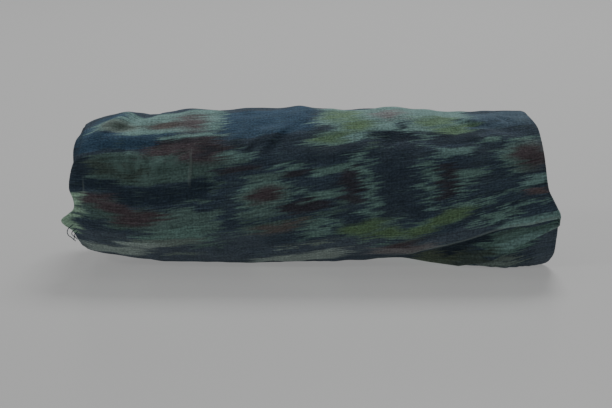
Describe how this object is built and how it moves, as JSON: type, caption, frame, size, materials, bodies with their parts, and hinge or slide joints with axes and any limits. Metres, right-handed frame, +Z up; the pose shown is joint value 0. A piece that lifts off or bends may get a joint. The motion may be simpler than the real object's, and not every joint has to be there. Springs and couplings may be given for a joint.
{
  "type": "ikat woven cloth, rolled",
  "caption": "Cotton ikat cloth in indigo, pale teal, maroon and green, folded double and rolled up, its slanting loose edge at the lower front",
  "frame": {"origin": "centre of the bounding box in X and Y, at the surface that the roll rests on", "axes": "+X along the roll to the end where the loose edge's corner is, +Y away from the side where the loose edge shows, +Z up"},
  "size_m": [0.353, 0.1192, 0.1118],
  "materials": {
    "ikat_cotton": "matte hand-dyed plain-weave cotton, streaked along the roll where the dye feathers"
  },
  "bodies": {
    "root": {"cloth_roll": "ikat_cotton", "outer_flap": "ikat_cotton"}
  },
  "joints": []
}
